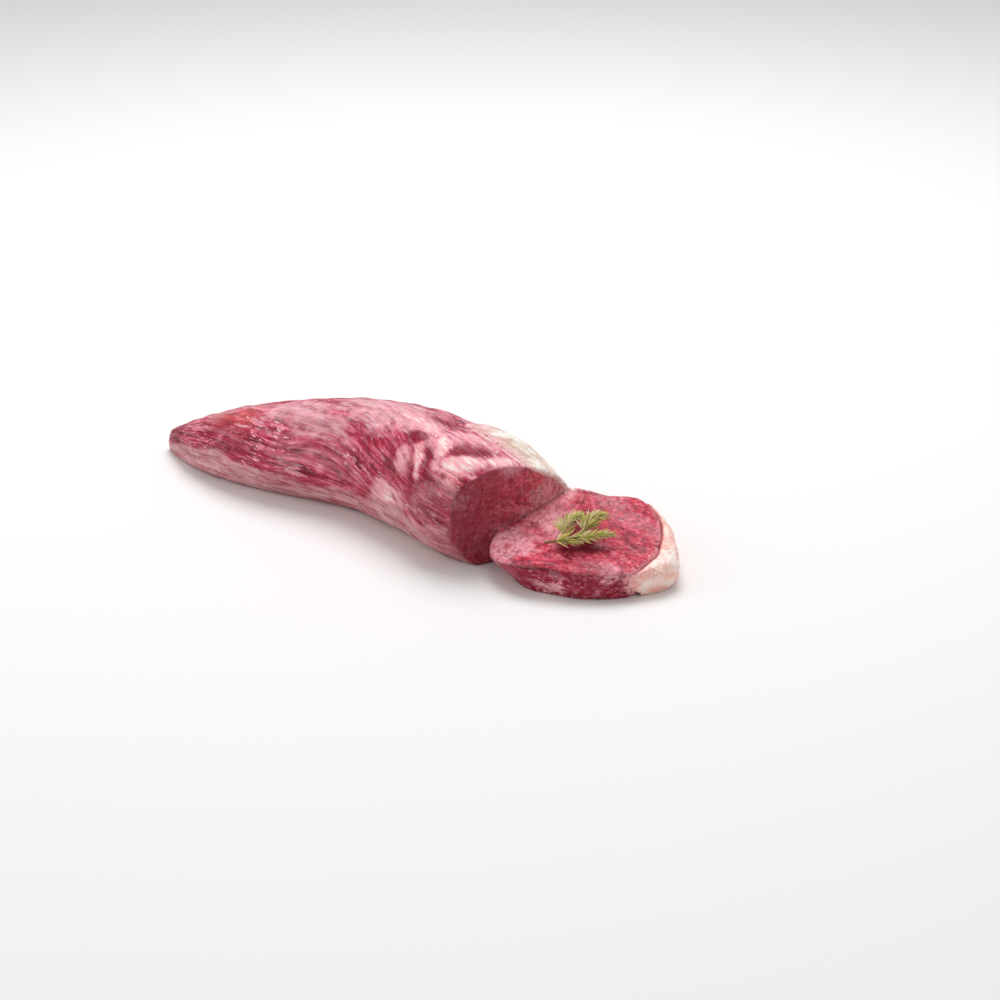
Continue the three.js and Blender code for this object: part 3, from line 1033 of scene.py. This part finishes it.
@dataclass
class Fillet:
    """The whole muscle with its folded slice."""

    grid: float = 1.05
    # Facets are rounded off in so many rounds, less freely within reach of the cut's sharp edge.
    rounds: int = 12
    edge_reach: float = 1.4
    edge_freedom: float = 0.35
    flat_until: float = 0.6  # what lies lower than this is pressed flat
    groove: float = 0.75
    small_groove: float = 0.3
    # What tells the parts of the meat apart: the way that they face, how far past the cut, and how high.
    faces_cut: Span = (0.5, 0.85)
    at_cut: Span = (-3.2, -1.2)
    past_face: Span = (1.0, 2.6)
    on_slice: Span = (0.4, 2.4)
    faces_up: Span = (0.35, 0.7)
    top_height: Span = (7, 11)
    rim_height: Span = (9, 13)
    rim_facing: float = 0.55
    rim_width: float = 0.22
    # The grain's slant, its scale round the fillet, and how much finer it is one way on the two cut faces.
    twist: float = 0.25
    round_mm: float = 42.0
    crosswise: float = 6.0
    # The turn at which the silverskin of the near flank starts, along the fillet.
    veil_marks: tuple[float, ...] = (-186, -140, -111, -86, -41, -10, 8, 25, 45, 66, 80)
    veil_turns: tuple[float, ...] = (176, 172, 174, 185, 194, 199, 182, 177, 186, 172, 168)
    # How strongly a layer lies on a whole part of the meat. Near the cut the veil is thinner and takes
    # painted shading; the cut face takes painted shading, darkest at its near side, and a little grey; the
    # slice's side is darker.
    flank_veil: float = 0.9
    shaded_veil: Span = (34, 62)
    face_shade: float = 0.95
    face_lighter: float = 0.85
    lighter_across: Span = (-8, 44)
    face_veil: float = 0.09
    side_shade: float = 0.68
    rim_veil: float = 0.35
    fat_edge: float = 0.95

    def build(self) -> None:
        """Meshes the meat finely, rounds off its facets and finds out which part of it is what."""
        self.piece = copy_of("meat", "fillet")
        remesh(self.piece, self.grid)
        skin = self.skin = Skin(self.piece)
        start = skin.spots.copy()
        freedom = np.where(np.abs(past_cut(start)) < self.edge_reach, self.edge_freedom, 1.0)
        fats = [Neighbour(node) for node in ("fat_cap", "slice_fat")]
        self.from_fat = np.minimum(*(fat.distance(start) for fat in fats))
        skin.relax(self.rounds, freedom * (0.2 + 0.8 * rise(self.from_fat, 0.5, 3)), back=1.03)
        low = start[:, 2] < self.flat_until
        skin.spots[:, 2] = np.maximum(np.where(low, np.minimum(start[:, 2], 0.0), skin.spots[:, 2]), 0.0)
        self.facing = skin.normals()
        covered = np.any([fat.covers(skin.spots, self.facing) for fat in fats], axis=0)
        self.under_fat = skin.even_out(covered.astype(float), 1)
        self.find_parts()
        self.lay_grain()
        self.shape()

    def find_parts(self) -> None:
        """Weighs each point's share of the cut face, the slice's top, side and rim."""
        spots, facing = self.skin.spots, self.facing
        past = past_cut(spots)
        self.face = rise(facing @ CUT_FACING, *self.faces_cut) * rise(past, *self.at_cut)
        self.face *= 1 - rise(past, *self.past_face)
        on_slice = rise(past, *self.on_slice)
        faces_up = rise(facing[:, 2], *self.faces_up)
        self.top = on_slice * faces_up * rise(spots[:, 2], *self.top_height)
        self.side = on_slice * (1 - faces_up) * (1 - self.face)
        rim = bump(facing[:, 2] - self.rim_facing, self.rim_width) * rise(spots[:, 2], *self.rim_height)
        self.rim = on_slice * rim
        self.cut = np.clip(self.face + self.top, 0, 1)

    def lay_grain(self) -> None:
        """Lays out the grain along the fillet, on the cut faces and round the slice, and weighs the marks."""
        spots = self.skin.spots
        girth = Girth()
        girth.measure(spots)
        self.turn = girth.turn(spots)
        zero = np.zeros(len(spots))
        lane = np.radians(self.turn) * self.round_mm - self.twist * spots[:, 0]
        lane += 3.0 * wander(spots, (38, 20, 20), 3)
        self.grain = np.stack([spots[:, 0], lane, zero], axis=1)
        swirl = 5.0 * wander(spots, 26, 7)
        away = spots[:, :2] - SLICE_MIDDLE
        bearing = np.arctan2(away[:, 1], away[:, 0])
        parts = (
            (self.side, bearing * 100, spots[:, 2] + 0.6 * swirl, 900),
            (self.top, self.crosswise * (spots[:, 0] + swirl), spots[:, 1] + swirl, 600),
            (self.face, self.crosswise * (spots @ CUT_ACROSS), spots[:, 2] + swirl, 300),
        )
        self.frayed = 0.6 * layered(spots, (9, 6, 6), 21) + 0.5 * wander(self.grain, (11, 2.4, 30), 24)
        self.bent = spots + 2.2 * np.stack([wander(spots, 9, seed) for seed in (25, 26, 27)], axis=1)
        for part, along, across, apart in parts:
            self.grain[part > 0.5] = np.stack([along, across, zero + apart], axis=1)[part > 0.5]
        self.marks = [(patch, patch.weight(spots, self.frayed)) for patch in PATCHES]
        self.marks += [(fold, near_line(self.bent, fold.line, fold.width)) for fold in FOLDS]

    def silverskin(self) -> Array:
        """How much silverskin lies over the fillet: on the near flank, the far side and in clouds between.

        Returns:
            A share from 0 to 1 for each point.
        """
        spots = self.skin.spots
        turn = self.turn + 9 * wander(spots, (24, 14, 14), 31) + 4 * wander(spots, (7, 4, 4), 32)
        start = np.interp(spots[:, 0], self.veil_marks, self.veil_turns)
        far_side = 1 - rise(turn + 22 * wander(spots, (46, 30, 30), 33), -2, 22)
        cloudy = rise(wander(spots, (46, 20, 20), 35), -0.1, 0.4) * (1 - rise(turn, 35, 75))
        veil = np.maximum(rise(turn - start, -6, 7), np.maximum(0.85 * far_side, 0.65 * cloudy))
        veil *= 0.6 + 0.4 * rise(wander(spots, (34, 16, 16), 34), -0.55, 0.1)
        return veil * (1 - rise(past_cut(spots), -1, 1)) * (1 - self.face)

    def layers(self) -> dict[Layer, Array]:
        """How much of each layer lies at each point.

        Returns:
            For each layer, how strong it is at each point.
        """
        spots = self.skin.spots
        found = {layer: np.zeros(len(spots)) for layer in Layer}

        def at_least(layer: Layer, amount: Array) -> None:
            """Brings a layer up to an amount wherever it is less."""
            found[layer] = np.maximum(found[layer], amount)

        veil = self.silverskin()
        # Near the cut the near flank's silverskin thins and takes painted shading.
        darker = rise(spots[:, 0], *self.shaded_veil) * (self.turn > 90)
        cluster = 0.35 + 0.65 * rise(wander(spots, (26, 14, 14), 61) + 0.5 * wander(spots, 8, 62), -0.4, 0.35)
        found[Layer.FLECK] = cluster * (1 - 0.85 * self.cut) * (1 - 0.6 * self.side)
        found[Layer.FLECK] *= 0.4 + 0.6 * rise(self.turn, 30, 80)
        found[Layer.MEMBRANE_AND_SHEEN] = (self.flank_veil - 0.3 * darker) * veil
        found[Layer.DARK_MEAT_AND_SHADE] = 0.45 * darker * veil
        for mark, weight in self.marks:
            at_least(mark.layer, mark.strength * weight)
        shade = found[Layer.DARK_MEAT_AND_SHADE] = np.minimum(found[Layer.DARK_MEAT_AND_SHADE], 1.0)
        for pale in (Layer.FAT, Layer.BLUSH_AND_LIGHT, Layer.FLECK):
            found[pale] *= 1 - 0.9 * shade
        found[Layer.MEMBRANE_AND_SHEEN] *= 1 - 0.85 * rise(shade, 0.5, 0.9)
        found[Layer.FLECK] *= 1 - 0.9 * self.top
        # Painted shading on the cut face, less to the right, and a darker side of the slice.
        dark_face = self.face_shade - self.face_lighter * rise(spots @ CUT_ACROSS, *self.lighter_across)
        at_least(Layer.DARK_MEAT_AND_SHADE, dark_face * self.face)
        at_least(Layer.DARK_MEAT_AND_SHADE, self.side_shade * self.side)
        at_least(Layer.MEMBRANE_AND_SHEEN, self.rim_veil * self.rim * rise(self.frayed, -0.5, 0.3))
        at_least(Layer.MEMBRANE_AND_SHEEN, self.face_veil * self.face)
        torn = np.maximum(rise(self.frayed, -0.7, 0.2), bump(self.from_fat, 1.5))
        edge = self.fat_edge * bump(self.from_fat, 4) * torn
        at_least(Layer.FAT, edge * (1 - 0.9 * self.face) * (1 - 0.5 * self.side) * (1 - 0.5 * self.top))
        return found

    def relief(self, found: dict[Layer, Array]) -> Array:
        """How far each point stands proud of the smooth meat: bundles and layers, or seams on a cut face.

        Args:
            found: How much of each layer lies at each point.

        Returns:
            One height for each point.
        """
        spots, grain = self.skin.spots, self.grain
        membrane, fat = found[Layer.MEMBRANE_AND_SHEEN], found[Layer.FAT]
        bundles = self.groove * furrows(grain, (56, 7, 30), 51, 0.3)
        bundles *= rise(wander(spots, (40, 16, 16), 59), -0.7, 0.4)
        bundles += self.small_groove * furrows(grain, (22, 3.3, 30), 52, 0.4)
        lumps = 0.8 * wander(spots, 25, 53) + 0.4 * wander(spots, 11, 54)
        on_skin = lumps - (1 - 0.6 * np.clip(membrane + fat, 0, 1)) * bundles + 0.35 * membrane + 0.4 * fat
        seams = 0.25 * furrows(self.bent, (24, 8, 8), 55, 0.14) + 0.2 * furrows(self.bent, (5, 4, 4), 56, 0.3)
        on_cut = 0.55 * wander(spots, 19, 57) + 0.25 * wander(spots, 7, 58) - seams
        height = on_skin * (1 - self.cut) + on_cut * self.cut
        for mark, weight in self.marks:
            height += mark.lift * weight
        height = (height * rise(self.from_fat, 0.5, 6) + 0.2 * bump(self.from_fat, 3)) * (1 - self.under_fat)
        return height * rise(spots[:, 2], 0.2, 3.5)

    def shape(self) -> None:
        """Gives the meat its relief and keeps what the material reads."""
        skin = self.skin
        found = self.layers()
        height = self.relief(found)
        skin.spots = skin.spots + height[:, None] * self.facing
        skin.spots[:, 2] = np.maximum(skin.spots[:, 2], 0.0)
        skin.store()
        for layer, values in found.items():
            skin.paint(layer.value, values)
        skin.paint("cut", self.cut)
        # How far each point lies in a recess of the relief, for the painted shading there.
        hollow_shade = np.clip(skin.even_out(height, 10) - height, 0, 1)
        skin.paint("hollow_shade", 2 * hollow_shade * rise(self.from_fat, 1, 4))
        skin.paint("grain", self.grain * MM)
        skin.smooth_faces()

    def dress(self) -> None:
        """Gives the meat its finish and fastens it to the frame."""
        self.piece.data.materials.append(MeatFinish().material())
        dress(self.piece, "meat")


# ---------------------------------------------------------------- the fat


@dataclass
class FatLayer:
    """One layer of fat, made from its CAD node."""

    node: str
    name: str
    finish: FatFinish
    fade: Span  # where along the fillet the layer runs out into pink skin, and where it is full
    grid: float = 0.6
    swell: float = 0.4  # how far it is blown up before it is rounded off, which shrinks it
    rounds: int = 40
    flat_until: float = 0.4  # what lies lower than this is pressed flat
    lump: float = 0.4
    lip: float = 0.45

    def build(self) -> None:
        """Meshes the fat finely, rounds it off and gives it lumps."""
        self.piece = copy_of(self.node, self.name)
        rough = Skin(self.piece)
        rough.spots += self.swell * rough.normals()
        rough.spots[:, 2] = np.maximum(rough.spots[:, 2], 0.0)
        rough.store()
        remesh(self.piece, self.grid)
        skin = Skin(self.piece)
        from_meat = Neighbour("meat").distance(skin.spots)
        low = skin.spots[:, 2] < self.flat_until
        skin.relax(self.rounds, 0.05 + 0.95 * rise(from_meat, 0.4, 2.5), back=0.0)
        facing = skin.normals()
        spots = skin.spots
        lumps = wander(spots, 9, 71) + 0.6 * wander(spots, 4.5, 72) + 0.35 * wander(spots, 2.2, 74)
        creases = 0.45 * furrows(spots, (10, 10, 6), 73, 0.2) + 0.2 * furrows(spots, (4, 4, 3), 75, 0.2)
        height = self.lump * lumps - creases
        height = height * rise(from_meat, 0.3, 2) + self.lip * bump(from_meat, 1.2)
        height *= rise(spots[:, 2], 0.2, 2.5)
        skin.spots = spots + height[:, None] * facing
        skin.spots[:, 2] = np.maximum(np.where(low, 0.0, skin.spots[:, 2]), 0.0)
        skin.store()
        skin.paint("thin", np.maximum(1 - rise(from_meat, 0.5, 4.5), 1 - rise(spots[:, 0], *self.fade)))
        skin.smooth_faces()

    def dress(self) -> None:
        """Gives the fat its finish and fastens it to the frame."""
        self.piece.data.materials.append(self.finish.material())
        dress(self.piece, self.node)


# ---------------------------------------------------------------- the herb


@dataclass(frozen=True)
class Twig:
    """One twig: its root and tip, how far it bows aside, its number of needles and how thick its root is."""

    root: Triple
    tip: Triple
    bow: float
    needles: int
    thick: float

    def at(self, share: float) -> Vector:
        """The middle of the twig at a share of its length.

        Args:
            share: A share from 0 at the root to 1 at the tip.

        Returns:
            The place.
        """
        root, tip = Vector(self.root), Vector(self.tip)
        aside = Vector((root.y - tip.y, tip.x - root.x, 0)).normalized()
        lift = Vector((0, 0, 1.5 * math.sin(share * math.pi)))
        return root.lerp(tip, share) + aside * (self.bow * math.sin(share * math.pi)) + lift

    def way(self, share: float) -> Vector:
        """The way that the twig goes at a share of its length."""
        return (self.at(share + 0.02) - self.at(share - 0.02)).normalized()


@dataclass
class Sprig:
    """A small sprig of herb that lies on the slice."""

    twigs: tuple[Twig, ...] = (
        Twig((122.5, -26.5, 24.2), (148.5, 0.5, 27.5), -3.0, 165, 1.8),
        Twig((128.5, -18.5, 25.6), (125.0, 1.0, 31.5), 2.0, 150, 1.3),
        Twig((136.5, -10.5, 27.0), (137.0, 8.0, 33.0), 2.0, 190, 1.3),
    )
    seed: int = 8
    needle: float = 9.5
    width: float = 1.2
    droop: float = 0.9
    bare: float = 0.16  # the share of a twig at its root that has no needles
    golden: float = math.radians(137.5)
    leans: Span = (38, 62)  # least and most degrees between a needle and its twig, less towards the tip
    less_lean: float = 22

    def stem(self, twig: Twig, number: int) -> Piece:
        """A tapering stem along a twig.

        Args:
            twig: The twig.
            number: Its number, for the name of the stem.

        Returns:
            The stem.
        """
        bpy.ops.object.select_all(action="DESELECT")
        bpy.ops.curve.primitive_nurbs_path_add()
        stem = newest()
        stem.name = f"stem_{number}"
        spline = stem.data.splines[0]
        last = len(spline.points) - 1
        for i, point in enumerate(spline.points):
            share = i / last
            point.co = (*(twig.at(share) * MM), 1.0)
            point.radius = 1 - 0.6 * share
        stem.data.bevel_depth = twig.thick / 2 * MM
        stem.data.bevel_resolution = 2
        stem.data.use_fill_caps = True
        bpy.ops.object.convert(target="MESH")
        return newest()

    def leaf(self) -> Piece:
        """One needle from the origin along x: narrow, folded along its middle and a little bent down.

        Returns:
            The needle.
        """
        bpy.ops.object.select_all(action="DESELECT")
        bpy.ops.mesh.primitive_uv_sphere_add(segments=6, ring_count=7, radius=0.5 * MM)
        leaf = newest()
        leaf.name = "needle"
        bpy.ops.object.mode_set(mode="EDIT")
        bpy.ops.mesh.select_all(action="SELECT")
        bpy.ops.transform.rotate(value=math.pi / 2, orient_axis="Y", center_override=(0, 0, 0))
        sizes = (self.needle, self.width, 0.45 * self.width)
        bpy.ops.transform.resize(value=sizes, center_override=(0, 0, 0))
        bpy.ops.transform.translate(value=(self.needle / 2 * MM, 0, 0))
        bpy.ops.object.mode_set(mode="OBJECT")
        for vertex in leaf.data.vertices:
            share = vertex.co.x / (self.needle * MM)
            vertex.co.y *= 0.55 + 0.6 * math.sin(math.pi * min(share * 1.2, 1.0))
            vertex.co.z += abs(vertex.co.y) * 0.5 - self.droop * MM * share**2
        bpy.ops.object.shade_smooth()
        return leaf

    def needles(self, twig: Twig, leaf: Piece, chance: np.random.Generator) -> list[Piece]:
        """All the needles of a twig, each a copy of the one leaf.

        Args:
            twig: The twig.
            leaf: The one needle.
            chance: Where the random numbers come from.

        Returns:
            The needles.
        """
        made = []
        for i in range(twig.needles):
            share = self.bare + (1 - self.bare) * (i + 0.5) / twig.needles
            way = twig.way(share)
            turn = i * self.golden + chance.uniform(-0.3, 0.3)
            side = way.orthogonal().normalized()
            side.rotate(Matrix.Rotation(turn, 3, way))
            lean = math.radians(chance.uniform(*self.leans) - self.less_lean * share)
            out = way * math.cos(lean) + side * math.sin(lean)
            if out.z < -0.1:
                out.z *= 0.15
            up = out.cross(Vector((0, 0, 1)).cross(out)).normalized()
            axes = Matrix((out.normalized(), up.cross(out).normalized(), up)).transposed()
            size = (1 - 0.45 * share**2) * chance.uniform(0.75, 1.1) * (0.65 if out.y < -0.2 else 1.0)
            place = Matrix.Translation(twig.at(share) * MM) @ axes.to_4x4() @ Matrix.Scale(size, 4)
            mesh = leaf.data.copy()
            mesh.transform(place)
            age = chance.uniform(0, 1) ** 1.3 + 0.25 * (1 - share)
            ages = np.full(len(mesh.vertices), age, np.float32)
            mesh.attributes.new("age", "FLOAT", "POINT").data.foreach_set("value", ages)
            made.append(placed("needle_copy", mesh))
        return made

    def build(self) -> None:
        """Makes the stems and needles and joins them."""
        chance = np.random.default_rng(self.seed)
        bark, green = StemFinish().material(), NeedleFinish().material()
        leaf = self.leaf()
        leaf.data.materials.append(green)
        parts = []
        for number, twig in enumerate(self.twigs):
            parts.append(self.stem(twig, number))
            parts[-1].data.materials.append(bark)
            parts += self.needles(twig, leaf, chance)
        bpy.data.objects.remove(leaf)
        select_only(parts[0])
        for part in parts:
            part.select_set(True)
        bpy.ops.object.join()
        self.piece = newest()
        self.piece.name = self.piece.data.name = "herb_sprig"
        bpy.ops.object.transform_apply()

    def dress(self) -> None:
        """Fastens the sprig to the frame."""
        dress(self.piece, "sprig")


# ---------------------------------------------------------------- the studio


@dataclass
class Studio:
    """A pale floor, soft light from the upper left and the camera at the photograph's angle."""

    target: Triple = (32.5, 41.0, 0.0)
    azimuth: float = 40.0
    elevation: float = 25.0
    distance: float = 1250.0
    lens: float = 72.0
    sensor: float = 36.0
    # In metres, and just below the resting plane.
    floor_side: float = 6.0
    floor_level: float = -0.0002
    floor_colour: str = "#efedea"
    sky: float = 0.55
    sky_colour: Triple = (0.97, 0.985, 1.0)
    # Each lamp: its name, power, width and distance in metres, the way it comes from, and its colour.
    lamps: tuple[tuple, ...] = (
        ("key", 18.5, 1.1, 1.6, (-0.22, 0.34, 0.9), (0.995, 0.985, 1.02)),
        ("fill", 6.0, 1.2, 1.8, (-0.75, -0.8, 0.5), (1.0, 1.0, 1.0)),
    )

    def floor(self) -> None:
        """A plain pale floor."""
        bpy.ops.object.select_all(action="DESELECT")
        bpy.ops.mesh.primitive_plane_add(size=self.floor_side, location=(0, 0, self.floor_level))
        floor = newest()
        floor.name = "floor"
        bpy.ops.object.transform_apply()
        recipe = Recipe("pale_floor")
        floor.data.materials.append(recipe.finish(self.floor_colour, 0.7, (0, 0, 0), wet=0.0, wet_rough=0.5))

    def lights(self) -> None:
        """The soft lamps, which face the object."""
        for name, power, size, distance, way, colour in self.lamps:
            lamp = bpy.data.lights.new(name, "AREA")
            lamp.shape, lamp.size, lamp.energy, lamp.color = "DISK", size, power, colour
            made = placed(name, lamp)
            made.location = Vector(way).normalized() * distance
            made.rotation_euler = Vector(way).to_track_quat("Z", "Y").to_euler()

    def world(self) -> None:
        """An even pale sky."""
        world = bpy.data.worlds.new("studio")
        world.use_nodes = True
        sky = world.node_tree.nodes["Background"].inputs
        sky["Color"].default_value = (*self.sky_colour, 1.0)
        sky["Strength"].default_value = self.sky
        bpy.context.scene.world = world
        bpy.context.scene.view_settings.view_transform = "Standard"

    def camera(self) -> None:
        """The camera, level with the horizon."""
        turn, tilt = math.radians(self.azimuth), math.radians(self.elevation)
        back = Vector((math.sin(turn) * math.cos(tilt), -math.cos(turn) * math.cos(tilt), math.sin(tilt)))
        camera = bpy.data.cameras.new("camera")
        camera.lens, camera.sensor_width = self.lens, self.sensor
        made = bpy.context.scene.camera = placed("camera", camera)
        made.location = (Vector(self.target) + back * self.distance) * MM
        made.rotation_euler = back.to_track_quat("Z", "Y").to_euler()

    def build(self) -> None:
        """Sets up the whole studio."""
        self.floor()
        self.world()
        self.lights()
        self.camera()


def main() -> None:
    """Builds and dresses every part in order."""
    logging.basicConfig(level=logging.INFO, format="%(message)s")
    Studio().build()
    head_fat = FatFinish("fat_of_the_head", "#cfa896", "#e6d4c4", "#fbf4ea", "#e49aa0")
    slice_fat = FatFinish("fat_of_the_rim", "#f4b0a3", "#fdcfc0", "#ffe9de", "#ea8f92")
    parts = (
        Fillet(),
        FatLayer("fat_cap", "fat_on_the_head", head_fat, fade=(38.0, 64.0)),
        FatLayer("slice_fat", "fat_of_the_slice", slice_fat, fade=(0.0, 1.0)),
        Sprig(),
    )
    for part in parts:
        part.build()
        part.dress()


if __name__ == "__main__":
    main()
